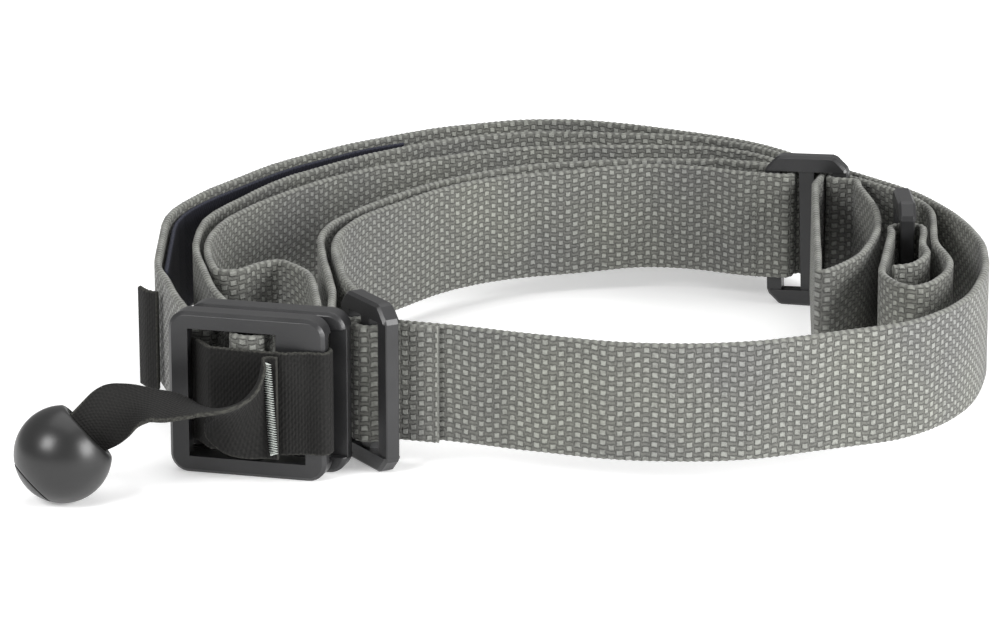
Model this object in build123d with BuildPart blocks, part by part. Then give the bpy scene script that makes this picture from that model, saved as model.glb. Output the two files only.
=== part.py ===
"""Two-point carrying sling, coiled up standing on the edge of its webbing.

Grey webbing stands in upright walls, and moulded frames a little taller than the webbing rest on
the floor. Millimetres, +Z up. The plan is drawn from the crown of the front strap and moved by
PLAN_CENTRE when it is written, so the origin lies on the floor under the middle of the whole.
A frame is placed by (x, y, turn): "along" runs with the webbing in it and "back" runs away from
the side of the coil that the pull tab is on.
"""
from build123d import *
import math
import os

os.makedirs("parts", exist_ok=True)

# --- driving dimensions -------------------------------------------------------------------------
PLAN_CENTRE = (5.587, 116.464)   # plan point that becomes the origin

WEB_WIDTH = 32.0                 # 1.25 in webbing
WEB_THICK = 2.0
WEB_LOW = 7.0                    # lower edge of the webbing above the floor
TAIL_RAISE = 1.8                 # the tail in the loop triglide sits higher in its frame

TAPE_WIDTH = 28.0                # black tape of the pull tab and the liner
TAPE_THICK = 1.2
TAPE_LOW = 7.8
LINER_LOW = 9.0

TRIGLIDE_WIDTH = 25.0            # along the webbing
TRIGLIDE_HEIGHT = 46.0
TRIGLIDE_THICK = 5.0
TRIGLIDE_RAIL = 4.75
TRIGLIDE_BAR = 4.5
SIDE_BAR_THICK = 4.0
CENTRE_BAR_THICK = 3.0
CORNER_CUT = 4.0
TRIGLIDE_EDGE = 0.8

FRAME_HEIGHT = 44.0              # quick-adjust slider and the ring behind it
FRAME_THICK = 7.0
FRAME_RAIL = 4.6
FRAME_CORNER = 5.0
FRAME_EDGE = 1.0
SLIDER_WIDTH = 43.0
SLIDER_BAR = 5.5
SLIDER_BAR_THICK = 3.5
SLIDER_CENTRE_BAR = 6.0
SLIDER_CENTRE_THICK = 2.5
RING_WIDTH = 44.0
RING_BAR = 5.0
RING_BAR_THICK = 3.6
LUG_ALONG = (8.2, 16.5)          # lug in the slider's upper right corner
LUG_DROP = 5.4                   # below the upper rail

BALL_RADIUS = 12.7
BALL_CENTRE = (-112.8, -12.3, BALL_RADIUS)
BALL_AXIS = (0.73, 0.18, 0.66)   # from the ball's centre towards its tape
BALL_FLAT = 8.8                  # flat mouth, from the centre
BALL_SEAM = -10.6                # joint of the end cap, from the centre
BALL_SOCKET_RADIUS = 7.6
BALL_SOCKET_DEPTH = 8.0

CLEAR = 0.3

# --- frame placing --------------------------------------------------------------------------------
SLIDER_AT = (-65.55, 11.5, -15.0)
RING_BACK = 8.6
RING_ALONG = 2.6
FRONT_TRIGLIDE_AT = (-34.3, 20.3, -60.0)
LOOP_TRIGLIDE_1_AT = (92.0, 179.7, -16.0)
LOOP_TRIGLIDE_2_AT = (116.0, 131.0, 90.0)


def local_point(frame, along, back):
    """Plan point at a distance along a frame and behind it."""
    x, y, turn = frame
    c = math.cos(math.radians(turn))
    s = math.sin(math.radians(turn))
    return (x + along * c - back * s, y + along * s + back * c)


def frame_plane(frame, height):
    """Upright plane through a frame's centre: local X along the webbing, local Y up."""
    x, y, turn = frame
    c = math.cos(math.radians(turn))
    s = math.sin(math.radians(turn))
    return Plane(origin=(x, y, height), x_dir=(c, s, 0), z_dir=(s, -c, 0))


RING_AT = (*local_point(SLIDER_AT, RING_ALONG, RING_BACK), SLIDER_AT[2])


# --- helpers ----------------------------------------------------------------------------------------
def corner_radii(points, limit):
    """Largest comfortable radius at each corner of a route, within a limit."""
    radii = []
    for before, corner, after in zip(points, points[1:], points[2:]):
        run_in = Vector(*corner) - Vector(*before)
        run_out = Vector(*after) - Vector(*corner)
        half_turn = math.radians(run_in.get_angle(run_out)) / 2
        widest = 0.45 * min(run_in.length, run_out.length) / math.tan(half_turn)
        radii.append(min(widest, limit))
    return radii


def export(part, name):
    """Move a finished piece to the shared origin, label it and write it."""
    placed = part.moved(Location((-PLAN_CENTRE[0], -PLAN_CENTRE[1], 0)))
    placed.label = name
    export_step(placed, f"parts/{name}.step")


def block(frame, along, back, height, size, mode=Mode.ADD):
    """Box placed in a frame: size is (along, back, up)."""
    x, y = local_point(frame, along, back)
    with Locations(Location((x, y, height), (0, 0, frame[2]))):
        Box(*size, mode=mode)


def thin_bar(frame, along, width, frame_thick, near, far, opening, height):
    """Leave one upright bar only from `near` to `far`, counted from the frame's mid-plane."""
    half = frame_thick / 2
    if near > -half:
        size = (width + 0.02, near + half, opening)
        block(frame, along, (near - half) / 2, height, size, Mode.SUBTRACT)
    if far < half:
        size = (width + 0.02, half - far, opening)
        block(frame, along, (far + half) / 2, height, size, Mode.SUBTRACT)


# --- triglides: three-bar frames with chamfered corners -------------------------------------------
TRIGLIDE_OPENING = TRIGLIDE_HEIGHT - 2 * TRIGLIDE_RAIL
TRIGLIDE_SLOT = (TRIGLIDE_WIDTH - 3 * TRIGLIDE_BAR) / 2
TRIGLIDE_PITCH = TRIGLIDE_BAR + TRIGLIDE_SLOT        # from bar to bar


def triglide(frame, name):
    """One moulded triglide, thicker in its rails than in its bars."""
    middle = TRIGLIDE_HEIGHT / 2
    with BuildPart() as body:
        with BuildSketch(frame_plane(frame, middle)):
            outline = Rectangle(TRIGLIDE_WIDTH, TRIGLIDE_HEIGHT)
            chamfer(outline.vertices(), CORNER_CUT)
        extrude(amount=TRIGLIDE_THICK / 2, both=True)
        chamfer(body.edges(), TRIGLIDE_EDGE)
        for side in (-1, 1):
            at = side * (TRIGLIDE_BAR + TRIGLIDE_SLOT) / 2
            size = (TRIGLIDE_SLOT, 2 * TRIGLIDE_THICK, TRIGLIDE_OPENING)
            block(frame, at, 0, middle, size, Mode.SUBTRACT)
        for along, thick in (
            (-TRIGLIDE_PITCH, SIDE_BAR_THICK),
            (0, CENTRE_BAR_THICK),
            (TRIGLIDE_PITCH, SIDE_BAR_THICK),
        ):
            thin_bar(frame, along, TRIGLIDE_BAR, TRIGLIDE_THICK, -thick / 2, thick / 2,
                     TRIGLIDE_OPENING, middle)
    export(body.part, name)


triglide(FRONT_TRIGLIDE_AT, "front_triglide")
triglide(LOOP_TRIGLIDE_1_AT, "loop_triglide_1")
triglide(LOOP_TRIGLIDE_2_AT, "loop_triglide_2")


# --- quick-adjust slider and the ring behind it ---------------------------------------------------
FRAME_OPENING = FRAME_HEIGHT - 2 * FRAME_RAIL
FRAME_MIDDLE = FRAME_HEIGHT / 2
SLIDER_WINDOW = (SLIDER_WIDTH - 2 * SLIDER_BAR - SLIDER_CENTRE_BAR) / 2
SLIDER_SIDE_AT = (SLIDER_WIDTH - SLIDER_BAR) / 2
RING_SIDE_AT = (RING_WIDTH - RING_BAR) / 2

with BuildPart() as quick_slider_frame:
    with BuildSketch(frame_plane(SLIDER_AT, FRAME_MIDDLE)):
        RectangleRounded(SLIDER_WIDTH, FRAME_HEIGHT, FRAME_CORNER)
    extrude(amount=FRAME_THICK / 2, both=True)
    chamfer(quick_slider_frame.edges(), FRAME_EDGE)
    for side in (-1, 1):
        window_at = side * (SLIDER_CENTRE_BAR + SLIDER_WINDOW) / 2
        window_size = (SLIDER_WINDOW, 2 * FRAME_THICK, FRAME_OPENING)
        block(SLIDER_AT, window_at, 0, FRAME_MIDDLE, window_size, Mode.SUBTRACT)
        thin_bar(SLIDER_AT, side * SLIDER_SIDE_AT, SLIDER_BAR, FRAME_THICK,
                 -FRAME_THICK / 2, SLIDER_BAR_THICK - FRAME_THICK / 2, FRAME_OPENING, FRAME_MIDDLE)
    thin_bar(SLIDER_AT, 0, SLIDER_CENTRE_BAR, FRAME_THICK, -SLIDER_CENTRE_THICK / 2,
             SLIDER_CENTRE_THICK / 2, FRAME_OPENING, FRAME_MIDDLE)
    lug_size = (LUG_ALONG[1] - LUG_ALONG[0], SLIDER_BAR_THICK, LUG_DROP)
    block(SLIDER_AT, sum(LUG_ALONG) / 2, (SLIDER_BAR_THICK - FRAME_THICK) / 2,
          FRAME_HEIGHT - FRAME_RAIL - LUG_DROP / 2, lug_size)
export(quick_slider_frame.part, "quick_slider_frame")

with BuildPart() as slider_ring:
    with BuildSketch(frame_plane(RING_AT, FRAME_MIDDLE)):
        RectangleRounded(RING_WIDTH, FRAME_HEIGHT, FRAME_CORNER)
    extrude(amount=FRAME_THICK / 2, both=True)
    chamfer(slider_ring.edges(), FRAME_EDGE)
    ring_window = (RING_WIDTH - 2 * RING_BAR, 2 * FRAME_THICK, FRAME_OPENING)
    block(RING_AT, 0, 0, FRAME_MIDDLE, ring_window, Mode.SUBTRACT)
    for side in (-1, 1):
        thin_bar(RING_AT, side * RING_SIDE_AT, RING_BAR, FRAME_THICK, -RING_BAR_THICK / 2,
                 RING_BAR_THICK / 2, FRAME_OPENING, FRAME_MIDDLE)
export(slider_ring.part, "slider_ring")


# --- webbing --------------------------------------------------------------------------------------
FRONT_WRAP = 3.8                 # radii of the folds' middle lines round the bars
REAR_WRAP = 4.0
RING_WRAP = 4.3
SLIDER_WRAP = 4.3
LOOP_2_WRAP = 4.6
WEAVE_FRONT = -3.5               # in the loop triglide: in front of its side bars,
WEAVE_BACK = 2.8                 # behind its centre bar,
TAIL_BACK = 5.2                  # and the tail behind that
WEAVE_IN = -5.1                  # where it passes its left and right slots
WEAVE_OUT = 4.0
TAIL_SLOT = 6.4
WEAVE_RADIUS = 2.2               # of its turns through the slots


def bar_fold(frame, along, radius, first_leg, last_leg):
    """Middle line of a strap that comes forward, rounds an upright bar and runs back again."""
    return [
        local_point(frame, along - radius, first_leg),
        local_point(frame, along - radius, -radius),
        local_point(frame, along + radius, -radius),
        local_point(frame, along + radius, last_leg),
    ]


def end_fold(frame, along, radius, side, leg):
    """Middle line of a strap that comes along a frame on one side and rounds its end bar."""
    return [
        local_point(frame, along - leg, side * radius),
        local_point(frame, along + radius, side * radius),
        local_point(frame, along + radius, -side * radius),
        local_point(frame, along - leg, -side * radius),
    ]


def strap(points, name, low=WEB_LOW, width=WEB_WIDTH, thickness=WEB_THICK, limit=1000.0):
    """Strap standing on its edge along a plan route, its corners rounded up to a limit."""
    with BuildPart() as wall:
        with BuildSketch(Plane.XY.offset(low)):
            with BuildLine():
                FilletPolyline(*points, radius=corner_radii(points, limit))
            trace(line_width=thickness)
        extrude(amount=width)
    export(wall.part, name)


outer_route = [
    (-16.2, 16.1), (-24.0, 18.2),
    *reversed(bar_fold(FRONT_TRIGLIDE_AT, 0, FRONT_WRAP, 2.6, 4.6)),
    (-25.0, 21.6), (-16.0, 18.7), (-5.0, 14.7), (5, 10), (16, 6), (26, 2.6), (36, 0.3),
    (47, -0.6), (57, 0), (68, 2.2), (78, 6.5), (92, 13), (105, 18.5), (112, 24.5),
    (119, 33.5), (126.5, 48), (131.0, 63), (134.5, 80), (136, 104), (134, 122),
    (129.5, 143), (122, 164), (104, 189.5), (92, 207), (80, 224), (62, 238), (44, 249.5),
    (25, 256), (6, 257.5), (-19, 246), (-43, 227), (-66, 201), (-87, 164), (-96, 138),
    (-95.5, 106), (-95, 85), (-94, 76), (-91, 65), (-88, 50), (-84.5, 38),
    *bar_fold(RING_AT, -RING_SIDE_AT, RING_WRAP, 5.0, 9.5),
]
liner_route = [
    (-92.4, 80), (-93.0, 106), (-93.7, 138), (-85.0, 163), (-64.5, 199.4), (-41.8, 225.1),
    (-30, 233.6),
]
adjuster_fold_route = [
    (-67.2, 31.6), *bar_fold(SLIDER_AT, 0, SLIDER_WRAP, 14.0, 12.0), (-53.4, 27.4),
]
adjuster_outer_route = [
    (-67.6, 32.05), (-71.6, 37), (-78, 55), (-81, 73), (-86, 100), (-85, 135), (-65.5, 179),
    (-42.5, 208), (-18.5, 230), (6, 241), (43, 238), (62, 234.5), (79.5, 219.5), (88, 208),
]
adjuster_inner_route = [
    (-52.8, 28.0), (-50, 30.6), (-48.4, 37), (-52.2, 73.3), (-61, 86), (-66.4, 82),
    (-71.5, 73.3), (-78.2, 74), (-83, 100), (-80, 129), (-64.6, 161.5), (-42, 191),
    (-18, 207), (6, 220.4), (43, 223), (62, 221), (76, 213), (84, 203),
]
running_fold_route = [
    (-45.3, 44.0), *end_fold(FRONT_TRIGLIDE_AT, -TRIGLIDE_PITCH, REAR_WRAP, -1, 4.0),
    (-36.4, 44.0),
]
running_outer_route = [
    (-45.4, 44.2), (-45.2, 53), (-48.4, 82), (-51, 108), (-48.7, 126.5), (-40.6, 144),
    (-18, 177), (6, 197), (42, 204.7), (60.5, 204), (75, 201), (88, 196), (99, 189),
    (107.5, 179.5), (114, 169), (118.3, 162), (121.8, 155), (124.2, 148), (124.9, 140),
    (123.8, 123), (122.8, 112), (122.6, 104), (124.3, 94), (125, 84), (122.6, 72),
    (117.5, 61), (112.5, 56.5), (108.5, 59.5), (104.5, 71), (110.5, 112),
    *end_fold(LOOP_TRIGLIDE_2_AT, -TRIGLIDE_PITCH, LOOP_2_WRAP, 1, 4.0),
    (119.2, 107), (118.9, 103), (119.6, 94), (117.5, 86), (113.6, 80), (108.5, 78.5),
]
running_inner_route = [
    (-36.7, 44.8), (-42, 62.7), (-46.9, 100.5), (-45.5, 117), (-40.3, 133.5),
    (-17.7, 168.2), (6, 185.6), (42.1, 193.2), (59.9, 188.1),
    local_point(LOOP_TRIGLIDE_1_AT, -20.0, WEAVE_FRONT + 0.3),
    local_point(LOOP_TRIGLIDE_1_AT, -15.2, WEAVE_FRONT),
]
weave_in_route = [
    local_point(LOOP_TRIGLIDE_1_AT, -15.0, WEAVE_FRONT),
    local_point(LOOP_TRIGLIDE_1_AT, WEAVE_IN, WEAVE_FRONT),
    local_point(LOOP_TRIGLIDE_1_AT, WEAVE_IN, WEAVE_BACK),
    local_point(LOOP_TRIGLIDE_1_AT, WEAVE_OUT, WEAVE_BACK),
    local_point(LOOP_TRIGLIDE_1_AT, WEAVE_OUT, -8.0),
]
loop_1_route = [
    local_point(LOOP_TRIGLIDE_1_AT, WEAVE_OUT, -8.2),
    local_point(LOOP_TRIGLIDE_1_AT, WEAVE_OUT + 0.3, -12.0),
    (87.5, 72), (91.8, 76.6), (96.8, 84), (101.2, 93.5), (105.0, 107.5), (107.9, 122),
    (109.0, 136), (108.3, 147), (106.6, 156.5), (105.6, 164.8),
]
weave_out_route = [
    (105.6, 165.0),
    local_point(LOOP_TRIGLIDE_1_AT, 15.2, WEAVE_FRONT),
    local_point(LOOP_TRIGLIDE_1_AT, TAIL_SLOT, WEAVE_FRONT),
    local_point(LOOP_TRIGLIDE_1_AT, TAIL_SLOT, TAIL_BACK),
    local_point(LOOP_TRIGLIDE_1_AT, -6.0, TAIL_BACK),
]
tail_route = [
    local_point(LOOP_TRIGLIDE_1_AT, -6.2, TAIL_BACK), (75, 192), (65, 198),
]

strap(outer_route, "outer_strap")
strap(liner_route, "shoulder_liner", LINER_LOW, TAPE_WIDTH, TAPE_THICK)
strap(adjuster_fold_route, "adjuster_strap_fold")
strap(adjuster_outer_route, "adjuster_strap_outer_leg")
strap(adjuster_inner_route, "adjuster_strap_inner_leg")
strap(running_fold_route, "running_strap_fold")
strap(running_outer_route, "running_strap_outer_leg")
strap(running_inner_route, "running_strap_inner_leg")
strap(weave_in_route, "loop_1_weave_in", limit=WEAVE_RADIUS)
strap(loop_1_route, "loop_1_strand")
strap(weave_out_route, "loop_1_weave_out", limit=WEAVE_RADIUS)
strap(tail_route, "loop_1_tail", WEB_LOW + TAIL_RAISE)


# --- black tape: liner tab, slider tape and pull tab ----------------------------------------------
SLIDER_TAPE_BACK = 0.9           # behind the slider's side bars
SLIDER_TAPE_FRONT = -6.3         # in front of the strap on its centre bar
TAPE_ON_BAR = -4.4               # in front of the right side bar, which it wraps
TAPE_WRAP = 22.4
TAPE_BEND = 1.5                  # radius of its bends
TAB_BACK = -7.9                  # start of the pull tab, stitched on in front of that
TAB_START = 10.0
TAB_FLAT_END = 7.0               # it lies flat as far as this, then starts to twist
TAB_MIDDLE = 20.9                # height of its middle line there
BARTACK = (2.4, 0.6, 25.0)
BARTACK_ALONG = 8.4
BARTACK_BACK = TAB_BACK - 1.1

liner_tab_route = [(-98.8, 70.2), (-96.6, 65.6), (-93.6, 63.5)]
slider_tape_route = [
    local_point(SLIDER_AT, -20.9, SLIDER_TAPE_BACK),
    local_point(SLIDER_AT, -15.0, SLIDER_TAPE_BACK),
    local_point(SLIDER_AT, -9.0, SLIDER_TAPE_FRONT),
    local_point(SLIDER_AT, 11.5, SLIDER_TAPE_FRONT),
    local_point(SLIDER_AT, 17.0, TAPE_ON_BAR),
    local_point(SLIDER_AT, TAPE_WRAP, TAPE_ON_BAR),
    local_point(SLIDER_AT, TAPE_WRAP, SLIDER_TAPE_BACK),
    local_point(SLIDER_AT, 15.5, SLIDER_TAPE_BACK),
]
strap(liner_tab_route, "liner_end_tab", WEB_LOW + 0.4, TAPE_WIDTH, TAPE_THICK)
strap(slider_tape_route, "slider_tape", TAPE_LOW, TAPE_WIDTH, TAPE_THICK, TAPE_BEND)


def section(centre, run, tilt):
    """Plane across a tape that runs in `run`: local X is its width, upright at tilt 0."""
    run = Vector(*run).normalized()
    level = Vector(0, 0, 1).cross(run).normalized()
    upright = run.cross(level)
    turn = math.radians(tilt)
    across = upright * math.cos(turn) + level * math.sin(turn)
    return Plane(origin=centre, x_dir=across, z_dir=run)


FLAT_RUN = (-1, 0.268, 0)        # along the slider, away from its right side
tab_start = (*local_point(SLIDER_AT, TAB_START, TAB_BACK), TAB_MIDDLE)
tab_flat = (*local_point(SLIDER_AT, TAB_FLAT_END, TAB_BACK), TAB_MIDDLE)
with BuildPart() as pull_tab_strap:
    with BuildSketch(section(tab_start, FLAT_RUN, 0)):
        Rectangle(TAPE_WIDTH, TAPE_THICK)
    with BuildSketch(section(tab_flat, FLAT_RUN, 0)):
        Rectangle(TAPE_WIDTH, TAPE_THICK)
    with BuildSketch(section((-63.6, 0.2, 21.0), (-1, -0.15, 0), 9)):
        Rectangle(TAPE_WIDTH, TAPE_THICK)
    with BuildSketch(section((-67.6, -4.4, 21.6), (-1, -0.45, 0.1), 36)):
        Rectangle(27.5, TAPE_THICK)
    with BuildSketch(section((-72.4, -7.5, 22.5), (-1, -0.3, 0.15), 68)):
        Rectangle(26.5, TAPE_THICK)
    with BuildSketch(section((-78.5, -7.6, 23.4), (-1, 0.0, 0.12), 80)):
        Rectangle(26.0, TAPE_THICK)
    with BuildSketch(section((-85.0, -7.2, 24.2), (-1, 0.03, 0.1), 91)):
        Rectangle(25.0, TAPE_THICK)
    with BuildSketch(section((-90.0, -6.9, 24.6), (-1, 0, 0.02), 95)):
        Rectangle(23.5, 1.5)
    with BuildSketch(section((-95.0, -7.0, 24.5), (-1, -0.1, -0.15), 107)):
        Rectangle(19.5, 1.8)
    loft(ruled=True)
export(pull_tab_strap.part, "pull_tab_strap")

with BuildPart() as pull_tab_bartack:
    block(SLIDER_AT, BARTACK_ALONG, BARTACK_BACK, 19.4, BARTACK)
export(pull_tab_bartack.part, "pull_tab_bartack")

# --- ball knob ------------------------------------------------------------------------------------
axis = Vector(*BALL_AXIS).normalized()
centre = Vector(*BALL_CENTRE)
mouth = centre + axis * BALL_FLAT
socket_floor = mouth - axis * BALL_SOCKET_DEPTH
seam = centre + axis * BALL_SEAM
ALL_ROUND = 4 * BALL_RADIUS

with BuildPart() as ball_body:
    with Locations(Location(BALL_CENTRE)):
        Sphere(BALL_RADIUS)
    with BuildSketch(Plane(origin=mouth, z_dir=axis)):
        Rectangle(ALL_ROUND, ALL_ROUND)
    extrude(amount=ALL_ROUND, mode=Mode.SUBTRACT)
    with BuildSketch(Plane(origin=seam + axis * (CLEAR / 2), z_dir=axis * -1)):
        Rectangle(ALL_ROUND, ALL_ROUND)
    extrude(amount=ALL_ROUND, mode=Mode.SUBTRACT)
    with BuildSketch(Plane(origin=mouth, z_dir=axis * -1)):
        Circle(BALL_SOCKET_RADIUS)
    extrude(amount=BALL_SOCKET_DEPTH, mode=Mode.SUBTRACT)
export(ball_body.part, "ball_body")

with BuildPart() as ball_end_cap:
    with Locations(Location(BALL_CENTRE)):
        Sphere(BALL_RADIUS)
    with BuildSketch(Plane(origin=seam - axis * (CLEAR / 2), z_dir=axis)):
        Rectangle(ALL_ROUND, ALL_ROUND)
    extrude(amount=ALL_ROUND, mode=Mode.SUBTRACT)
export(ball_end_cap.part, "ball_end_cap")

FOLD_GRIP = 12.4                 # width of the tape where the ball holds it
fold_end = socket_floor + axis * (CLEAR + 0.2)
with BuildPart() as pull_tab_fold:
    with BuildSketch(section((-95.3, -7.0, 24.5), (-1, -0.1, -0.15), 107)):
        Rectangle(18.5, 3.0)
    with BuildSketch(section((-100.6, -8.4, 22.9), (-1, -0.4, -0.6), 145)):
        Rectangle(15.5, 3.6)
    with BuildSketch(section(tuple(fold_end + axis * BALL_SOCKET_DEPTH), tuple(axis * -1), 186)):
        Rectangle(FOLD_GRIP, 3.6)
    with BuildSketch(section(tuple(fold_end), tuple(axis * -1), 190)):
        Rectangle(FOLD_GRIP, 3.6)
    loft(ruled=True)
export(pull_tab_fold.part, "pull_tab_fold")
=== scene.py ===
"""Coiled two-point carrying sling: webbing, tape, moulded frames and pull-tab ball.

Plan routes are in millimetres, measured from the crown of the front strap. `spot` turns them into
the shared frame in metres. Straps stand on their edges along those routes.
"""
import math
import bmesh
import bpy
from mathutils import Matrix, Vector, noise


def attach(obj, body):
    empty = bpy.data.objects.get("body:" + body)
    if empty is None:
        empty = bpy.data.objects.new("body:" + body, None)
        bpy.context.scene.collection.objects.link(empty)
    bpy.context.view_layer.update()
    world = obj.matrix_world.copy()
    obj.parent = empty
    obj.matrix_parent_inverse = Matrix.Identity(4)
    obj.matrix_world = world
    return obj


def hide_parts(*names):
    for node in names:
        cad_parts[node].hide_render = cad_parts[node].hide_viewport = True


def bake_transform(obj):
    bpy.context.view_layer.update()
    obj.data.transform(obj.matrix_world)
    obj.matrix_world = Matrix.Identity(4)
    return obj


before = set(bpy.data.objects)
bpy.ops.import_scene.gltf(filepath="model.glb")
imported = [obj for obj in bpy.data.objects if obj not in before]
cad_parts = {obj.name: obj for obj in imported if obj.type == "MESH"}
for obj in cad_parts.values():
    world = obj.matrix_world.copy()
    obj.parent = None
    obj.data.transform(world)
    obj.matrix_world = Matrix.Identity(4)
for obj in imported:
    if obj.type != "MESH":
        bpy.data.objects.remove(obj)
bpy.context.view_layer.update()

MM = 0.001
PLAN_CENTRE = (5.587, 116.464)   # the shared frame's origin, in the plan

WEB_WIDTH = 32.0
WEB_THICK = 2.0
WEB_LOW = 7.0                    # height of the webbing's lower edge
TRIGLIDE_LIFT = 1.6              # how much higher the strap sits in the first loop triglide
WEAVE_RADIUS = 2.2               # largest bend where it weaves through that triglide
TAPE_WIDTH = 28.0
TAPE_THICK = 1.2
TAPE_LOW = 7.8
TAPE_BEND = 1.8                  # largest bend of the tape round the slider
LINER_LOW = 9.0
LINER_TAB_LOW = 7.4
MID_HEIGHT = 23.0                # middle of the webbing's width

# The middle of each frame in the plan, and its turn in degrees
SLIDER_AT = (-65.55, 11.5, -15.0)
RING_AT = (-60.808, 19.148, -15.0)
FRONT_TRIGLIDE_AT = (-34.3, 20.3, -60.0)
LOOP_TRIGLIDE_1_AT = (92.0, 179.7, -16.0)
LOOP_TRIGLIDE_2_AT = (116.0, 131.0, 90.0)
TRIGLIDE_PITCH = 10.25           # from a triglide's middle bar to its end bars
RING_SIDE = 19.5                 # from the ring's middle to its side bars

BALL_CENTRE = (-112.8, -12.3, 12.7)
BALL_RADIUS = 12.7
BALL_AXIS = Vector((0.73, 0.18, 0.66)).normalized()   # out through the tape's socket
BALL_FLAT = 8.8                  # flat round the socket, along the axis
BALL_SEAM = -10.6                # seam between the ball and its cap, along the axis


def spot(x, y, z):
    """Plan point and height in millimetres, in the shared frame in metres."""
    return Vector(((x - PLAN_CENTRE[0]) * MM, (y - PLAN_CENTRE[1]) * MM, z * MM))


def local_point(place, along, back):
    """Plan point at a distance along a frame and behind it."""
    x, y, turn = place
    c = math.cos(math.radians(turn))
    s = math.sin(math.radians(turn))
    return (x + along * c - back * s, y + along * s + back * c)


# --- plan routes ------------------------------------------------------------------------------------
def bar_fold(place, along, radius, first_leg, last_leg):
    """Strap that comes forward, rounds an upright bar and runs back again."""
    return [
        local_point(place, along - radius, first_leg),
        local_point(place, along - radius, -radius),
        local_point(place, along + radius, -radius),
        local_point(place, along + radius, last_leg),
    ]


def end_fold(place, along, radius, side, leg):
    """Strap that comes along a frame on one side and rounds its end bar."""
    return [
        local_point(place, along - leg, side * radius),
        local_point(place, along + radius, side * radius),
        local_point(place, along + radius, -side * radius),
        local_point(place, along - leg, -side * radius),
    ]


OUTER_ROUTE = [
    (-16.2, 16.1), (-24.0, 18.2),
    *reversed(bar_fold(FRONT_TRIGLIDE_AT, 0, 3.8, 2.6, 4.6)),
    (-25.0, 21.6), (-16.0, 18.7), (-5.0, 14.7), (5, 10), (16, 6), (26, 2.6), (36, 0.3),
    (47, -0.6), (57, 0), (68, 2.2), (78, 6.5), (92, 13), (105, 18.5), (112, 24.5),
    (119, 33.5), (126.5, 48), (131.0, 63), (134.5, 80), (136, 104), (134, 122),
    (129.5, 143), (122, 164), (104, 189.5), (92, 207), (80, 224), (62, 238), (44, 249.5),
    (25, 256), (6, 257.5), (-19, 246), (-43, 227), (-66, 201), (-87, 164), (-96, 138),
    (-95.5, 106), (-95, 85), (-94, 76), (-91, 65), (-88, 50), (-84.5, 38),
    *bar_fold(RING_AT, -RING_SIDE, 4.3, 5.0, 9.5),
]
LINER_ROUTE = [
    (-92.4, 80), (-93.0, 106), (-93.7, 138), (-85.0, 163), (-64.5, 199.4), (-41.8, 225.1),
    (-30, 233.6),
]
ADJUSTER_OUTER = [
    (88, 208), (79.5, 219.5), (62, 234.5), (43, 238), (6, 241), (-18.5, 230), (-42.5, 208),
    (-65.5, 179), (-85, 135), (-86, 100), (-81, 73), (-78, 55), (-71.6, 37), (-67.5, 31.9),
]
ADJUSTER_INNER = [
    (-52.8, 28.0), (-50, 30.6), (-48.4, 37), (-52.2, 73.3), (-61, 86), (-66.4, 82),
    (-71.5, 73.3), (-78.2, 74), (-83, 100), (-80, 129), (-64.6, 161.5), (-42, 191),
    (-18, 207), (6, 220.4), (43, 223), (62, 221), (76, 213), (84, 203),
]
ADJUSTER_ROUTE = [*ADJUSTER_OUTER, *bar_fold(SLIDER_AT, 0, 4.3, 14.0, 12.0), *ADJUSTER_INNER]
RUNNING_OUTER = [
    (108.5, 78.5), (113.6, 80), (117.5, 86), (119.6, 94), (118.9, 103), (119.2, 107),
    *reversed(end_fold(LOOP_TRIGLIDE_2_AT, -TRIGLIDE_PITCH, 4.6, 1, 4.0)),
    (110.5, 112), (104.5, 71), (108.5, 59.5), (112.5, 56.5), (117.5, 61), (122.6, 72),
    (125, 84), (124.3, 94), (122.6, 104), (122.8, 112), (123.8, 123), (124.9, 140),
    (124.2, 148), (121.8, 155), (118.3, 162), (114, 169), (107.5, 179.5), (99, 189),
    (88, 196), (75, 201), (60.5, 204), (42, 204.7), (6, 197), (-18, 177), (-40.6, 144),
    (-48.7, 126.5), (-51, 108), (-48.4, 82), (-45.2, 53),
]
RUNNING_INNER = [
    (-42, 62.7), (-46.9, 100.5), (-45.5, 117), (-40.3, 133.5), (-17.7, 168.2), (6, 185.6),
    (42.1, 193.2), (59.9, 188.1), local_point(LOOP_TRIGLIDE_1_AT, -20.0, -3.2),
]
RUNNING_ROUTE = [
    *RUNNING_OUTER, (-45.3, 44.0), *end_fold(FRONT_TRIGLIDE_AT, -TRIGLIDE_PITCH, 4.0, -1, 4.0),
    (-36.4, 44.0), *RUNNING_INNER, local_point(LOOP_TRIGLIDE_1_AT, -15.0, -3.5),
]
WEAVE_IN_ROUTE = [
    local_point(LOOP_TRIGLIDE_1_AT, -15.0, -3.5),
    local_point(LOOP_TRIGLIDE_1_AT, -5.1, -3.5),
    local_point(LOOP_TRIGLIDE_1_AT, -5.1, 2.8),
    local_point(LOOP_TRIGLIDE_1_AT, 4.0, 2.8),
    local_point(LOOP_TRIGLIDE_1_AT, 4.0, -8.1),
]
LOOP_1_ROUTE = [
    WEAVE_IN_ROUTE[-1], local_point(LOOP_TRIGLIDE_1_AT, 4.3, -12.0),
    (87.5, 72), (91.8, 76.6), (96.8, 84), (101.2, 93.5), (105.0, 107.5), (107.9, 122),
    (109.0, 136), (108.3, 147), (106.6, 156.5), (105.6, 164.8),
]
WEAVE_OUT_ROUTE = [
    LOOP_1_ROUTE[-1], local_point(LOOP_TRIGLIDE_1_AT, 15.2, -3.5),
    local_point(LOOP_TRIGLIDE_1_AT, 6.4, -3.5),
    local_point(LOOP_TRIGLIDE_1_AT, 6.4, 5.2),
    local_point(LOOP_TRIGLIDE_1_AT, -6.1, 5.2),
]
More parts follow.
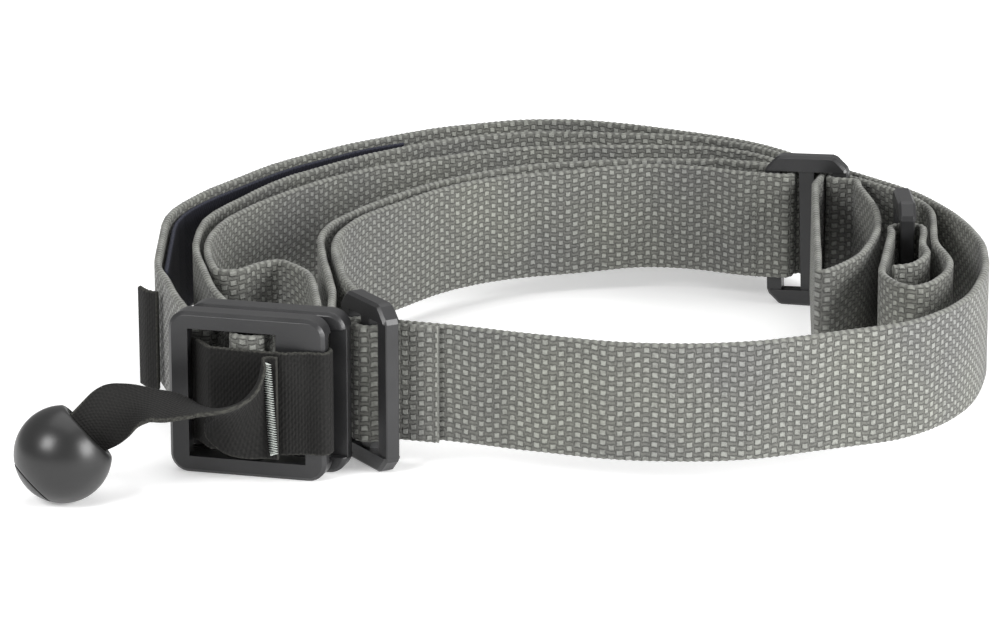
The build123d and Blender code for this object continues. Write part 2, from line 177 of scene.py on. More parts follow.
TAIL_ROUTE = [WEAVE_OUT_ROUTE[-1], (75, 192), (65, 198)]
LINER_TAB_ROUTE = [(-98.8, 70.2), (-96.6, 65.6), (-93.6, 63.5)]
SLIDER_TAPE_ROUTE = [
    local_point(SLIDER_AT, -20.9, 0.9), local_point(SLIDER_AT, -15.0, 0.9),
    local_point(SLIDER_AT, -9.0, -6.3), local_point(SLIDER_AT, 11.5, -6.3),
    local_point(SLIDER_AT, 17.0, -4.4), local_point(SLIDER_AT, 22.4, -4.4),
    local_point(SLIDER_AT, 22.4, 0.9), local_point(SLIDER_AT, 15.5, 0.9),
]


CORNER_SHARE = 0.45     # part of a run that the arc at one of its ends may take
STRAIGHT = 0.002        # turn, in radians, that needs no arc
ARC_STEP = 0.12         # turn between two points of an arc, in radians
END_MARGIN = 0.35       # first point in from a strap's end, and first row in from its edge


def rounded(points, limit=1000.0):
    """Route with each corner turned in an arc, as a close row of plan points."""
    corners = [Vector(p) for p in points]
    row = [corners[0]]
    for before, corner, after in zip(corners, corners[1:], corners[2:]):
        back = (before - corner).normalized()
        ahead = (after - corner).normalized()
        turn = (-back).angle(ahead)
        if turn < STRAIGHT:
            row.append(corner)
            continue
        reach = CORNER_SHARE * min((before - corner).length, (after - corner).length)
        radius = min(reach / math.tan(turn / 2), limit)
        reach = radius * math.tan(turn / 2)
        middle = corner + (back + ahead).normalized() * math.hypot(radius, reach)
        first = corner + back * reach - middle
        side = 1 if back.x * ahead.y - back.y * ahead.x < 0 else -1
        steps = max(3, int(turn / ARC_STEP))
        for k in range(steps + 1):
            c = math.cos(side * turn * k / steps)
            s = math.sin(side * turn * k / steps)
            row.append(middle + Vector((first.x * c - first.y * s, first.x * s + first.y * c)))
    row.append(corners[-1])
    return row


def spaced(row, step):
    """Points at an even spacing along a row, with the distance of each from its start."""
    lengths = [0.0]
    for a, b in zip(row, row[1:]):
        lengths.append(lengths[-1] + (b - a).length)
    whole = lengths[-1]
    count = max(2, round(whole / step))
    marks = [whole * k / count for k in range(1, count)]
    even = []
    at = 0
    for s in [0.0, END_MARGIN, *marks, whole - END_MARGIN, whole]:
        while at < len(row) - 2 and lengths[at + 1] < s:
            at += 1
        span = max(lengths[at + 1] - lengths[at], 1e-9)
        even.append((row[at].lerp(row[at + 1], (s - lengths[at]) / span), s))
    return even


# --- objects and meshes -----------------------------------------------------------------------------
def placed(name, data):
    """New object for a mesh, curve, lamp or camera, linked into the scene."""
    piece = bpy.data.objects.new(name, data)
    bpy.context.scene.collection.objects.link(piece)
    return piece


def shade_smooth(mesh):
    """Shade every face of a mesh smoothly."""
    for polygon in mesh.polygons:
        polygon.use_smooth = True


# --- materials --------------------------------------------------------------------------------------
def new_material(name):
    """Empty node material with a Principled shader."""
    material = bpy.data.materials.new(name)
    material.use_nodes = True
    return material, material.node_tree.nodes, material.node_tree.links


def value(node, **inputs):
    """Set named inputs of a node."""
    for key, number in inputs.items():
        node.inputs[key.replace("_", " ")].default_value = number


def maths(nodes, links, operation, a, b=None, c=None):
    """Math node on links or numbers; returns its output."""
    node = nodes.new("ShaderNodeMath")
    node.operation = operation
    for socket, item in zip(node.inputs, (a, b, c)):
        if item is None:
            continue
        if isinstance(item, (int, float)):
            socket.default_value = item
        else:
            links.new(item, socket)
    return node.outputs[0]


def ramp(nodes, links, source, stops):
    """Colour ramp; stops are (position, rgb)."""
    node = nodes.new("ShaderNodeValToRGB")
    elements = node.color_ramp.elements
    while len(elements) < len(stops):
        elements.new(0.5)
    for element, (position, rgb) in zip(elements, stops):
        element.position = position
        element.color = (*rgb, 1)
    links.new(source, node.inputs[0])
    return node.outputs[0]


def noise_at(nodes, links, scale, detail=3.0, vector=None):
    """Noise texture value, over object coordinates unless a vector is given."""
    node = nodes.new("ShaderNodeTexNoise")
    value(node, Scale=scale, Detail=detail)
    if vector is None:
        vector = nodes.new("ShaderNodeTexCoord").outputs["Object"]
    links.new(vector, node.inputs["Vector"])
    return node.outputs[0]


def wave(nodes, links, source, period):
    """Cosine of a distance over a period."""
    return maths(nodes, links, "COSINE", maths(nodes, links, "MULTIPLY", source, math.tau / period))


def smoothstep(nodes, links, source, low, high):
    """Smooth rise from 0 to 1 as the source goes from low to high."""
    node = nodes.new("ShaderNodeMapRange")
    node.interpolation_type = "SMOOTHSTEP"
    value(node, From_Min=low, From_Max=high)
    links.new(source, node.inputs["Value"])
    return node.outputs[0]


def mix(nodes, links, kind, factor, a, b):
    """Mixed colour of two links; the factor is a link or a number."""
    node = nodes.new("ShaderNodeMix")
    node.data_type = "RGBA"
    node.blend_type = kind
    if isinstance(factor, float):
        node.inputs[0].default_value = factor
    else:
        links.new(factor, node.inputs[0])
    links.new(a, node.inputs[6])
    links.new(b, node.inputs[7])
    return node.outputs[2]


def bump(nodes, links, height, strength, distance):
    """Shape the shader's surface by a height."""
    node = nodes.new("ShaderNodeBump")
    value(node, Strength=strength, Distance=distance)
    links.new(height, node.inputs["Height"])
    links.new(node.outputs[0], nodes["Principled BSDF"].inputs["Normal"])


def weave_space(nodes, links):
    """Weave coordinates in millimetres: as a vector, along the strap, and across it."""
    uv = nodes.new("ShaderNodeUVMap")
    uv.uv_map = "Weave"
    parts = nodes.new("ShaderNodeSeparateXYZ")
    links.new(uv.outputs[0], parts.inputs[0])
    return uv.outputs[0], parts.outputs[0], parts.outputs[1]


def edge_share(nodes):
    """1 on a strap's edges and cut ends, 0 on its faces."""
    node = nodes.new("ShaderNodeAttribute")
    node.attribute_name = "edge"
    return node.outputs["Fac"]


def srgb(r, g, b):
    """Linear colour of an 8-bit sRGB one, above 10."""
    return tuple(((c / 255 + 0.055) / 1.055) ** 2.4 for c in (r, g, b))


ROW_PITCH = 2.69        # raised yarns, across the webbing, in millimetres
COLUMN_PERIOD = 4.5     # two columns of them, along it
GAP_DEPTH = -0.38       # how far the gaps round a raised yarn sink, and how much painted shade darkens them


def chequer(nodes, links, along, across):
    """Raised yarns of a plain weave and the gaps round them, each from 0 to 1."""
    column = wave(nodes, links, along, COLUMN_PERIOD)
    row = wave(nodes, links, across, ROW_PITCH)
    in_column = maths(nodes, links, "ABSOLUTE", column)
    in_row = maths(nodes, links, "MULTIPLY", row, maths(nodes, links, "SIGN", column))
    raised = maths(nodes, links, "MULTIPLY", smoothstep(nodes, links, in_column, 0.22, 0.75),
                   smoothstep(nodes, links, in_row, -0.40, 0.40))
    yarn = maths(nodes, links, "MULTIPLY", smoothstep(nodes, links, in_column, 0.02, 0.22),
                 smoothstep(nodes, links, in_row, -0.85, -0.50))
    return raised, maths(nodes, links, "SUBTRACT", yarn, raised)


def face_colour(nodes, links, tone, dark, light):
    """Colour of the webbing's faces: the weave's tone under broad, faint patches."""
    colour = ramp(nodes, links, maths(nodes, links, "MULTIPLY", tone, 0.5), [
        (0.22, tuple(c * 0.50 for c in dark)), (0.50, dark), (0.98, light)])
    soiled = noise_at(nodes, links, 28.0, 4.0)
    patch = ramp(nodes, links, soiled, [(0.35, (0.86, 0.86, 0.88)), (0.65, (1.06, 1.07, 1.02))])
    return mix(nodes, links, "MULTIPLY", 1.0, colour, patch)


def webbing_material(name, dark, light, edge_light):
    """Plain weave: raised yarns in a chequer with a painted highlight on their crowns and painted
    shade in the gaps, with a firm selvedge.
    """
    material, nodes, links = new_material(name)
    shader = nodes["Principled BSDF"]
    weave, straight, level = weave_space(nodes, links)
    wander = noise_at(nodes, links, 0.35, 2.0, weave)
    drift = maths(nodes, links, "MULTIPLY_ADD", wander, 0.7, -0.35)
    along = maths(nodes, links, "ADD", straight, drift)
    across = maths(nodes, links, "MULTIPLY_ADD", drift, 0.35, level)
    raised, gap = chequer(nodes, links, along, across)
    yarn_noise = noise_at(nodes, links, 0.42, 2.0, weave)
    uneven = maths(nodes, links, "MULTIPLY_ADD", yarn_noise, 2.6, -0.45)
    # raised yarns painted lighter on their crowns, unevenly by noise: a painted highlight
    crown = maths(nodes, links, "MULTIPLY", raised, uneven)
    relief = maths(nodes, links, "MULTIPLY_ADD", gap, GAP_DEPTH, raised)
    # tone of the colour: the gaps painted darker as painted shade, the crowns painted lighter as a
    # painted highlight
    shade = maths(nodes, links, "MULTIPLY_ADD", gap, GAP_DEPTH, crown)
    fibre_space = nodes.new("ShaderNodeMapping")
    value(fibre_space, Scale=(0.7, 7.0, 1.0))
    links.new(weave, fibre_space.inputs["Vector"])
    fibres = noise_at(nodes, links, 2.2, 3.0, fibre_space.outputs[0])
    grain = noise_at(nodes, links, 0.9, 4.0, weave)
    tone = maths(nodes, links, "MULTIPLY_ADD", grain, 1.1, shade)
    tone = maths(nodes, links, "MULTIPLY_ADD", fibres, 0.7, tone)
    colour = face_colour(nodes, links, tone, dark, light)
    ribs = wave(nodes, links, along, COLUMN_PERIOD / 2)
    edge_tone = maths(nodes, links, "MULTIPLY_ADD", ribs, 0.35, 0.35)
    edge_tone = maths(nodes, links, "MULTIPLY_ADD", grain, 0.7, edge_tone)
    edge_colour = ramp(nodes, links, edge_tone, [
        (0.3, tuple(c * 0.6 for c in dark)), (1.0, edge_light)])
    edge = edge_share(nodes)
    links.new(mix(nodes, links, "MIX", edge, colour, edge_colour), shader.inputs["Base Color"])
    height = maths(nodes, links, "MULTIPLY_ADD", fibres, 0.3, relief)
    edge_height = maths(nodes, links, "MULTIPLY_ADD", ribs, 0.25, 0.4)
    bump(nodes, links, mix(nodes, links, "MIX", edge, height, edge_height), 0.85, 0.00045)
    gloss = ramp(nodes, links, raised, [(0.0, (0.85,) * 3), (1.0, (0.55,) * 3)])
    links.new(gloss, shader.inputs["Roughness"])
    value(shader, Sheen_Weight=0.12, Sheen_Roughness=0.4, Specular_IOR_Level=0.4)
    return material


RIB_PITCH = 0.85        # cross ribs of the black tape, in millimetres
TWILL_PITCH = 1.5       # its slanting twill


def tape_material(name, dark, light, edge_light):
    """Black tape: fine cross ribs, a soft lengthwise twill and a woven edge painted paler as a
    painted highlight.
    """
    material, nodes, links = new_material(name)
    shader = nodes["Principled BSDF"]
    weave, along, across = weave_space(nodes, links)
    ribs = maths(nodes, links, "SINE", maths(nodes, links, "MULTIPLY", along, math.tau / RIB_PITCH))
    slant = maths(nodes, links, "ADD", along, maths(nodes, links, "MULTIPLY", across, 0.8))
    twill = maths(nodes, links, "SINE",
                  maths(nodes, links, "MULTIPLY", slant, math.tau / TWILL_PITCH))
    grain = noise_at(nodes, links, 1.6, 4.0, weave)
    height = maths(nodes, links, "MULTIPLY_ADD", twill, 0.3,
                   maths(nodes, links, "MULTIPLY", ribs, 0.3))
    tone = maths(nodes, links, "MULTIPLY_ADD", height, 0.3, grain)
    colour = ramp(nodes, links, tone, [(0.25, dark), (0.8, light)])
    # edges and cut ends painted paler: a painted highlight along the tape's edges
    edge_colour = ramp(nodes, links, grain, [(0.35, light), (0.65, edge_light)])
    colour = mix(nodes, links, "MIX", edge_share(nodes), colour, edge_colour)
    links.new(colour, shader.inputs["Base Color"])
    bump(nodes, links, maths(nodes, links, "ADD", height, grain), 0.6, 0.00018)
    value(shader, Roughness=0.8, Sheen_Weight=0.02, Sheen_Roughness=0.4, Specular_IOR_Level=0.25)
    return material


def plastic_material(name, colour, worn, roughness, pebble):
    """Moulded plastic: faint pebbled skin, slight wear and uneven gloss."""
    material, nodes, links = new_material(name)
    shader = nodes["Principled BSDF"]
    broad = noise_at(nodes, links, 90.0, 5.0)
    tone = ramp(nodes, links, broad, [(0.35, colour), (0.75, worn)])
    links.new(tone, shader.inputs["Base Color"])
    gloss = ramp(nodes, links, broad, [
        (0.3, (roughness - 0.02,) * 3), (0.7, (roughness + 0.03,) * 3)])
    links.new(gloss, shader.inputs["Roughness"])
    bump(nodes, links, noise_at(nodes, links, 2600.0, 2.0), pebble, 0.00008)
    return material


def thread_material(name, dark, light):
    """Twisted sewing thread."""
    material, nodes, links = new_material(name)
    shader = nodes["Principled BSDF"]
    grain = noise_at(nodes, links, 2200.0, 2.0)
    links.new(ramp(nodes, links, grain, [(0.3, dark), (0.7, light)]), shader.inputs["Base Color"])
    bump(nodes, links, grain, 0.4, 0.0001)
    value(shader, Roughness=0.6, Sheen_Weight=0.2)
    return material


WEBBING = webbing_material("webbing", srgb(108, 108, 104), srgb(144, 145, 140), srgb(124, 125, 119))
TAPE = tape_material("black_tape", srgb(14, 14, 13), srgb(32, 31, 30), srgb(66, 66, 61))
LINER = tape_material("liner_tape", srgb(14, 14, 20), srgb(32, 33, 46), srgb(56, 58, 68))
PLASTIC = plastic_material("black_plastic", srgb(32, 32, 33), srgb(40, 40, 41), 0.36, 0.35)
BALL = plastic_material("ball_plastic", srgb(28, 28, 28), srgb(32, 32, 32), 0.34, 0.06)
THREAD = thread_material("grey_thread", srgb(150, 156, 150), srgb(205, 210, 205))


# --- straps -----------------------------------------------------------------------------------------
LIP_SHARE = 0.55        # how far a strap's edges are rounded, as a share of half its thickness
LIP_DROP = 0.12         # how much lower the rounding's sides are than its middle
EDGE_ZONE = 0.9         # rows of a face this near an edge are partly in the edge's colour
EDGE_TINT = 0.6
END_SPREAD = 0.3        # spacing of the weave coordinates over a strap's first cut end
FACE_ROWS = 6
RIPPLE = (0.28, 0.035)  # how far a strap wanders up and down, and how quickly along it
LEAN = (0.22, 0.05)     # how far its edges wander sideways, and how quickly along it
TOOTH = 0.1             # teeth of the selvedges


def strap_profile(width, thickness, rows):
    """Closed outline of a strap's section: (across the thickness, up the width, is edge)."""
    half = thickness / 2
    lip = half * LIP_SHARE
    side = [lip + (width - 2 * lip) * k / rows for k in range(rows + 1)]
    face = [(half, h, EDGE_TINT if min(h, width - h) < EDGE_ZONE else 0.0) for h in side]
    inner = [(half, lip + END_MARGIN, 0.0), (half, width - lip - END_MARGIN, 0.0)]
    face = sorted([*face, *inner], key=lambda point: point[1])
    crown = [(lip, width - LIP_DROP, 1.0), (0.0, width, 1.0), (-lip, width - LIP_DROP, 1.0)]
    back = [(-x, h, e) for x, h, e in reversed(face)]
    foot = [(-lip, LIP_DROP, 1.0), (0.0, 0.0, 1.0), (lip, LIP_DROP, 1.0)]
    return face + crown + back + foot


def outline_lengths(profile):
    """Distance round a closed outline at each of its points, and back at the first."""
    lengths = [profile[0][1]]
    for a, b in zip(profile, [*profile[1:], profile[0]]):
        lengths.append(lengths[-1] + math.hypot(b[0] - a[0], b[1] - a[1]))
    return lengths


def strip_faces(count, size, rounds, distances):
    """Faces of a strap of `count` rings, and the weave coordinates of their corners."""
    faces = []
    coordinates = []
    for i in range(count - 1):
        for j in range(size):
            k = (j + 1) % size
            faces.append((i * size + j, (i + 1) * size + j, (i + 1) * size + k, i * size + k))
            low = rounds[j]
            high = rounds[j + 1]
            coordinates += [(distances[i], low), (distances[i + 1], low),
                            (distances[i + 1], high), (distances[i], high)]
    last = (count - 1) * size
    faces.append(tuple(range(size)))
    faces.append(tuple(reversed(range(last, last + size))))
    coordinates += [(distances[0] + END_SPREAD * j, rounds[j]) for j in range(size)]
    coordinates += [(distances[-1], rounds[j]) for j in reversed(range(size))]
    return faces, coordinates


def make_strip(name, material, rings, profile, distances, cuts=(True, True)):
    """Mesh of a strap from its rings of points, with weave coordinates in millimetres.

    `cuts` says which of its two ends is a seared cut rather than a place where it runs on.
    """
    mesh = bpy.data.meshes.new(name)
    size = len(profile)
    last = (len(rings) - 1) * size
    faces, coordinates = strip_faces(len(rings), size, outline_lengths(profile), distances)
    mesh.from_pydata([point for ring in rings for point in ring], [], faces)
    layer = mesh.uv_layers.new(name="Weave")
    for item, uv in zip(layer.data, coordinates):
        item.uv = uv
    edge = mesh.attributes.new("edge", "FLOAT", "POINT")
    for k, item in enumerate(edge.data):
        on_end = (cuts[0] and k < size) or (cuts[1] and k >= last)
        item.value = 1.0 if on_end else profile[k % size][2]
    shade_smooth(mesh)
    bm = bmesh.new()
    bm.from_mesh(mesh)
    bmesh.ops.recalc_face_normals(bm, faces=bm.faces)
    bm.to_mesh(mesh)
    bm.free()
    mesh.materials.append(material)
    return placed(name, mesh)


def strap(name, row, material, low, width, thickness, start=0.0, lift=None, step=1.0,
          cuts=(True, True)):
    """Strap standing on its edge along a row of plan points, its edges a little uneven."""
    even = spaced(row, step)
    profile = strap_profile(width, thickness, FACE_ROWS)
    rings = []
    for k, (here, s) in enumerate(even):
        before = even[max(k - 1, 0)][0]
        after = even[min(k + 1, len(even) - 1)][0]
        run = (after - before).normalized()
        normal = Vector((-run.y, run.x))
        rise = RIPPLE[0] * noise.noise(Vector(((s + start) * RIPPLE[1], low, 3.1)))
        lean = LEAN[0] * noise.noise(Vector(((s + start) * LEAN[1], 7.7, low)))
        rise += TOOTH if k % 2 else -TOOTH
        if lift:
            rise += lift(s)
        ring = []
        for offset, height, _ in profile:
            tip = lean * (height / width - 0.5) * 2
            at = here + normal * (offset + tip)
            ring.append(spot(at.x, at.y, low + height + rise))
        rings.append(ring)
    piece = make_strip(name, material, rings, profile, [s + start for _, s in even], cuts)
    return piece


def webbing(name, row, **details):
    """Length of the grey webbing."""
    return strap(name, row, WEBBING, WEB_LOW, WEB_WIDTH, WEB_THICK, **details)


def tape(name, row, material, low, **details):
    """Length of the black tape."""
    return strap(name, row, material, low, TAPE_WIDTH, TAPE_THICK, **details)


def between(row, first, last):
    """Part of a row of points between two distances along it."""
    part = []
    travelled = 0.0
    for a, b in zip(row, row[1:]):
        length = (b - a).length
        if travelled + length > first and not part:
            part.append(a.lerp(b, max(first - travelled, 0) / length))
        if part and travelled + length < last:
            part.append(b)
        if travelled + length >= last:
            part.append(a.lerp(b, (last - travelled) / length))
            return part
        travelled += length
    return part


def route_length(row):
    """Length of a row of plan points."""
    return sum((b - a).length for a, b in zip(row, row[1:]))


def distance_to(row, point):
    """Distance along a row to its point nearest to a plan point."""
    travelled = 0.0
    nearest = (math.inf, 0.0)
    for a, b in zip(row, row[1:]):
        nearest = min(nearest, ((a - Vector(point)).length, travelled))
        travelled += (b - a).length
    return nearest[1]


def smooth(t):
    """Ease from 0 to 1."""
    t = min(max(t, 0.0), 1.0)
    return t * t * (3 - 2 * t)


outer = webbing("outer_webbing", rounded(OUTER_ROUTE))
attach(outer, "coil")
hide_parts("outer_strap")

adjuster = webbing("adjuster_webbing", rounded(ADJUSTER_ROUTE))
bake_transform(adjuster)
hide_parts("adjuster_strap_outer_leg", "adjuster_strap_fold", "adjuster_strap_inner_leg")

running = rounded(RUNNING_ROUTE)
running_end = route_length(running)
split = distance_to(running, RUNNING_INNER[0])
running_outer = webbing("running_webbing_outer", between(running, 0, split), cuts=(True, False))
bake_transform(running_outer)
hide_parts("running_strap_outer_leg", "running_strap_fold")

CLIMB = 60              # run in which the strap rises to the first loop triglide
CLIMB_END = 10          # and how far before its end it has risen
LOOP_FALL = 45          # run in which the loop comes down from it, and goes up again
LOOP_LEVEL = 4          # how far out of it the loop stays level


def lift_to_triglide(s):
    """The strap climbs by the time it reaches the loop triglide."""
    return TRIGLIDE_LIFT * smooth((s - (running_end - split) + CLIMB + CLIMB_END) / CLIMB)


running_inner = webbing("running_webbing_inner", between(running, split, running_end),
                        start=split, lift=lift_to_triglide, cuts=(False, False))
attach(running_inner, "coil")
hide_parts("running_strap_inner_leg")

weave_in = rounded(WEAVE_IN_ROUTE, WEAVE_RADIUS)
loop_row = rounded(LOOP_1_ROUTE)
weave_out = rounded(WEAVE_OUT_ROUTE, WEAVE_RADIUS)
weave_row = [*weave_in, *loop_row[1:], *weave_out[1:], *rounded(TAIL_ROUTE)[1:]]
loop_start = route_length(weave_in)
loop_end = loop_start + route_length(loop_row)


def loop_lift(s):
    """High where it weaves through the triglide, low at the far end of the loop."""
    out = smooth((s - loop_start - LOOP_LEVEL) / LOOP_FALL)
    home = smooth((s - loop_end + LOOP_FALL) / LOOP_FALL)
    return TRIGLIDE_LIFT * (1 - out + home)


loop_1 = webbing("loop_1_webbing", weave_row, start=running_end, lift=loop_lift, cuts=(False, True))
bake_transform(loop_1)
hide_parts("loop_1_weave_in", "loop_1_strand", "loop_1_weave_out", "loop_1_tail")

liner = tape("liner_tape", rounded(LINER_ROUTE), LINER, LINER_LOW)
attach(liner, "coil")
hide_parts("shoulder_liner")

liner_tab = tape("liner_tab_tape", rounded(LINER_TAB_ROUTE), TAPE, LINER_TAB_LOW, step=0.8)
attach(liner_tab, "coil")
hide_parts("liner_end_tab")

slider_tape = tape(
    "slider_front_tape", rounded(SLIDER_TAPE_ROUTE, TAPE_BEND), TAPE, TAPE_LOW, step=0.8)
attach(slider_tape, "quick_slider")
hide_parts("slider_tape")


# --- pull tab ---------------------------------------------------------------------------------------
TAB_START = 10.0        # the tab's stitched end, along the slider
TAB_FLAT_END = 7.0      # where it leaves the slider's tape
TAB_BACK = -7.9
TAB_MIDDLE = 20.9       # height of its middle there
TAB_SOCKET = BALL_FLAT - 7.2
TAB_MOUTH = BALL_FLAT + 0.6
TAB_STEPS = 9           # rings between two stations
TAB_FACE_ROWS = 10
ARCH_DROP = 0.4         # share of its arch by which the tape's middle is moved back


def curve_through(stations, steps):
    """Catmull-Rom blend of rows of numbers."""
    rows = []
    padded = [stations[0], *stations, stations[-1]]
    for a, b, c, d in zip(padded, padded[1:], padded[2:], padded[3:]):
        for k in range(steps):
            t = k / steps
            rows.append([
                0.5 * (2 * q + (r - p) * t + (2 * p - 5 * q + 4 * r - s) * t * t
                       + (3 * q - p - 3 * r + s) * t ** 3)
                for p, q, r, s in zip(a, b, c, d)
            ])
    rows.append(list(stations[-1]))
    return rows


# x, y, z, tilt of the width in degrees from upright, width, arch of the section
TAB_STATIONS = [
    (*local_point(SLIDER_AT, TAB_START, TAB_BACK), TAB_MIDDLE, 0, 28.0, 0.0),
    (*local_point(SLIDER_AT, TAB_FLAT_END, TAB_BACK), TAB_MIDDLE, 1, 28.0, 0.0),
    (-63.6, 0.2, 21.0, 9, 28.0, 0.0),
    (-67.6, -4.4, 21.6, 36, 27.5, 0.4),
    (-72.4, -7.5, 22.5, 68, 26.5, 0.8),
    (-78.5, -7.6, 23.2, 79, 25.0, 0.8),
    (-85.0, -7.2, 24.0, 90, 23.5, 0.6),
    (-90.5, -6.9, 24.2, 95, 22.0, 0.0),
    (-95.5, -7.4, 23.7, 114, 17.5, -1.2),
    (-100.4, -8.7, 22.1, 148, 15.5, -2.0),
    (*(Vector(BALL_CENTRE) + BALL_AXIS * TAB_MOUTH), 184, 14.4, -1.6),
    (*(Vector(BALL_CENTRE) + BALL_AXIS * TAB_SOCKET), 190, 13.0, -0.8),
]


def tab_rings(rows, profile):
    """Rings of a tape that twists: its width turns from upright to level and arches."""
    rings = []
    for k, (x, y, z, tilt, width, arch) in enumerate(rows):
        before = Vector(rows[max(k - 1, 0)][:3])
        after = Vector(rows[min(k + 1, len(rows) - 1)][:3])
        run = (after - before).normalized()
        level = Vector((0, 0, 1)).cross(run).normalized()
        upright = run.cross(level)
        turn = math.radians(tilt)
        across = upright * math.cos(turn) + level * math.sin(turn)
        outward = run.cross(across)
        ring = []
        for offset, height, _ in profile:
            share = height / TAPE_WIDTH * 2 - 1
            at = Vector((x, y, z)) + across * (share * width / 2)
            at += outward * (offset - arch * share * share + arch * ARCH_DROP)
            ring.append(spot(*at))
        rings.append(ring)
    return rings


tab_rows = curve_through(TAB_STATIONS, TAB_STEPS)
tab_profile = strap_profile(TAPE_WIDTH, TAPE_THICK, TAB_FACE_ROWS)
tab_distance = [0.0]
for here, following in zip(tab_rows, tab_rows[1:]):
    tab_distance.append(tab_distance[-1] + (Vector(following[:3]) - Vector(here[:3])).length)
tab = make_strip("pull_tab_tape", TAPE, tab_rings(tab_rows, tab_profile), tab_profile, tab_distance)
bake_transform(tab)
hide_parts("pull_tab_strap", "pull_tab_fold")


# --- moulded frames ---------------------------------------------------------------------------------
TRIGLIDE_EDGE = 0.45    # rounding of the moulded edges
SLIDER_EDGE = 0.5
TRIGLIDE_LEAN = 1.8     # lean of the first loop triglide, in degrees


def leaning(bm, place, lean):
    """Turn a frame's mesh in its own plane, about its middle."""
    heading = math.radians(place[2])
    through = Vector((math.sin(heading), -math.cos(heading), 0))
    turn = Matrix.Rotation(math.radians(lean), 3, through)
    bmesh.ops.rotate(bm, cent=spot(place[0], place[1], MID_HEIGHT), matrix=turn, verts=bm.verts)


def moulded(node, body, radius, lean=0.0, place=None):
    """Rounded copy of a frame's solid, for its softened moulded edges."""
    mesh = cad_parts[node].data.copy()
    bm = bmesh.new()
    bm.from_mesh(mesh)
    bmesh.ops.remove_doubles(bm, verts=bm.verts, dist=1e-6)
    bmesh.ops.dissolve_limit(bm, angle_limit=math.radians(2), verts=bm.verts, edges=bm.edges)
    sharp = [e for e in bm.edges if e.is_manifold and e.calc_face_angle() > math.radians(20)]
    bmesh.ops.bevel(bm, geom=sharp, offset=radius * MM, offset_type="OFFSET", segments=3,
                    profile=0.5, affect="EDGES", clamp_overlap=True)
    if lean:
        leaning(bm, place, lean)
    bm.to_mesh(mesh)
    bm.free()
    mesh.materials.clear()
    mesh.materials.append(PLASTIC)
    shade_smooth(mesh)
    piece = placed(node + "_moulding", mesh)
    normals = piece.modifiers.new("even shading", "WEIGHTED_NORMAL")
    normals.keep_sharp = True
    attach(piece, body)
    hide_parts(node)


moulded("front_triglide", "front_triglide", TRIGLIDE_EDGE)
moulded("loop_triglide_1", "loop_triglide_1", TRIGLIDE_EDGE, TRIGLIDE_LEAN, LOOP_TRIGLIDE_1_AT)
moulded("loop_triglide_2", "loop_triglide_2", TRIGLIDE_EDGE)
moulded("quick_slider_frame", "quick_slider", SLIDER_EDGE)
moulded("slider_ring", "coil", SLIDER_EDGE)


# --- ball -------------------------------------------------------------------------------------------
BALL_TURNS = 96         # points round the ball


def lathe(name, outline):
    """Turned piece about the ball's axis: outline is (distance along the axis, radius)."""
    mesh = bpy.data.meshes.new(name)
    side = BALL_AXIS.orthogonal().normalized()
    other = BALL_AXIS.cross(side)
    points = []
    for t, radius in outline:
        for k in range(BALL_TURNS):
            a = math.tau * k / BALL_TURNS
            at = Vector(BALL_CENTRE) + BALL_AXIS * t
            at += (side * math.cos(a) + other * math.sin(a)) * max(radius, 0.01)
            points.append(spot(*at))
    faces = []
    for i in range(len(outline) - 1):
        low = i * BALL_TURNS
        high = low + BALL_TURNS
        for k in range(BALL_TURNS):
            n = (k + 1) % BALL_TURNS
            faces.append((low + k, low + n, high + n, high + k))
    mesh.from_pydata(points, [], faces)
    bm = bmesh.new()
    bm.from_mesh(mesh)
    bmesh.ops.remove_doubles(bm, verts=bm.verts, dist=2e-5)
    bmesh.ops.recalc_face_normals(bm, faces=bm.faces)
    bm.to_mesh(mesh)
    bm.free()
    shade_smooth(mesh)
    mesh.materials.append(BALL)
    piece = placed(name, mesh)
    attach(piece, "ball_knob")
    return piece


def ball_arc(first, last, steps):
    """Points of the ball's outline between two distances along its axis."""
    a = math.acos(first / BALL_RADIUS)
    b = math.acos(last / BALL_RADIUS)
    angles = [a + (b - a) * k / steps for k in range(steps + 1)]
    return [(BALL_RADIUS * math.cos(angle), BALL_RADIUS * math.sin(angle)) for angle in angles]


ball_outline = [
    (0.9, 0.0), (0.9, 7.3), (1.2, 7.6), (8.2, 7.6), (8.65, 7.75), (8.8, 8.1), (8.8, 8.75),
    (8.72, 9.05), *ball_arc(8.45, BALL_SEAM + 0.2, 40), (BALL_SEAM + 0.08, 6.75),
    (BALL_SEAM + 0.06, 0.0),
]
ball = lathe("ball_shell", ball_outline)
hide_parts("ball_body")
cap_outline = [
    (BALL_SEAM - 0.06, 0.0), (BALL_SEAM - 0.08, 6.7), *ball_arc(BALL_SEAM - 0.2, -12.69, 14)]
cap = lathe("ball_cap", cap_outline)
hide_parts("ball_end_cap")


# --- stitching --------------------------------------------------------------------------------------
THREAD_RADIUS = 0.42
TACK_POINTS = 77
TACK_ALONG = 9.1        # its lower end, along the slider
TACK_SLANT = 1.6        # how far its upper end is nearer to the slider's middle
TACK_BACK = -8.9
TACK_HALF_WIDTH = 0.85
TACK_LOW = 8.6
TACK_TALL = 24.6


def zigzag():
    """Points of the stitching, from its lower end to its upper one."""
    points = []
    for k in range(TACK_POINTS):
        share = k / (TACK_POINTS - 1)
        swing = TACK_HALF_WIDTH if k % 2 else -TACK_HALF_WIDTH
        x, y = local_point(SLIDER_AT, TACK_ALONG - TACK_SLANT * share + swing, TACK_BACK)
        points.append(spot(x, y, TACK_LOW + TACK_TALL * share))
    return points


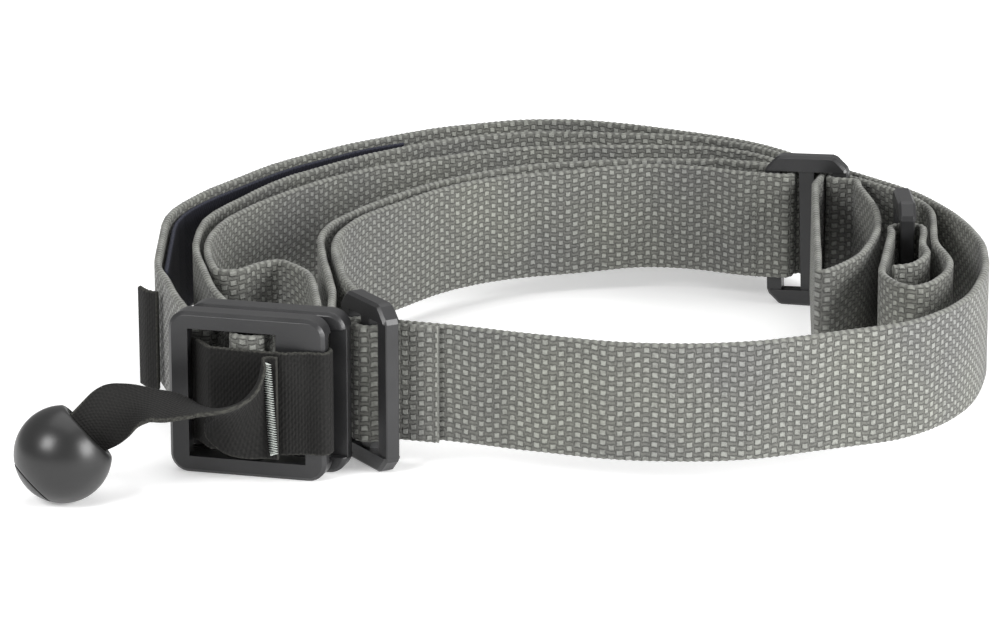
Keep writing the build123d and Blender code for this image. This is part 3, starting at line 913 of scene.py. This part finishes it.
def stitching(name, points):
    """Thread along a row of points, as one round-section curve."""
    curve = bpy.data.curves.new(name, "CURVE")
    curve.dimensions = "3D"
    curve.bevel_depth = THREAD_RADIUS * MM
    curve.bevel_resolution = 2
    spline = curve.splines.new("POLY")
    spline.points.add(len(points) - 1)
    for target, point in zip(spline.points, points):
        target.co = (*point, 1)
    curve.materials.append(THREAD)
    return placed(name, curve)


tack = stitching("pull_tab_stitching", zigzag())
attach(tack, "pull_tab")
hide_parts("pull_tab_bartack")


# --- setting ----------------------------------------------------------------------------------------
FLOOR_REACH = 6.0                       # metres
LAMP_TARGET = (0, 0, 0.02)
CAMERA_AT = (0, -1121.55, 358.24)       # plan point and height, in millimetres
CAMERA_DIP = 15.5                       # degrees below level
CAMERA_LENS = 162


def floor():
    """Plain pale floor."""
    mesh = bpy.data.meshes.new("floor")
    r = FLOOR_REACH
    mesh.from_pydata([(-r, -r, 0), (r, -r, 0), (r, r, 0), (-r, r, 0)], [], [(0, 1, 2, 3)])
    material, nodes, _ = new_material("floor")
    value(nodes["Principled BSDF"], Roughness=0.9, Base_Color=(0.9, 0.9, 0.9, 1))
    value(nodes["Principled BSDF"], Emission_Color=(1, 1, 1, 1), Emission_Strength=0.3)
    mesh.materials.append(material)
    placed("floor", mesh)


def softbox(name, place, size, power):
    """Large square lamp turned to the object."""
    light = bpy.data.lights.new(name, "AREA")
    light.size = size
    light.energy = power
    piece = placed(name, light)
    piece.location = place
    aim = Vector(LAMP_TARGET) - Vector(place)
    piece.rotation_euler = aim.to_track_quat("-Z", "Y").to_euler()


def camera():
    """Long lens, a little above the coil, looking along +Y."""
    data = bpy.data.cameras.new("camera")
    data.sensor_width = 36
    data.lens = CAMERA_LENS
    data.clip_end = 20
    piece = placed("camera", data)
    piece.location = spot(*CAMERA_AT)
    piece.rotation_euler = (math.radians(90 - CAMERA_DIP), 0, 0)
    bpy.context.scene.camera = piece


floor()
camera()
bpy.context.scene.view_settings.view_transform = "Standard"
softbox("overhead", (0.1, 0.2, 1.3), 1.3, 8)
softbox("right", (0.95, -0.55, 0.4), 0.6, 16)
softbox("front left", (-0.5, -0.6, 0.5), 0.32, 4.8)
world = bpy.data.worlds.new("studio")
world.use_nodes = True
value(world.node_tree.nodes["Background"], Color=(1, 1, 1, 1), Strength=0.40)
bpy.context.scene.world = world
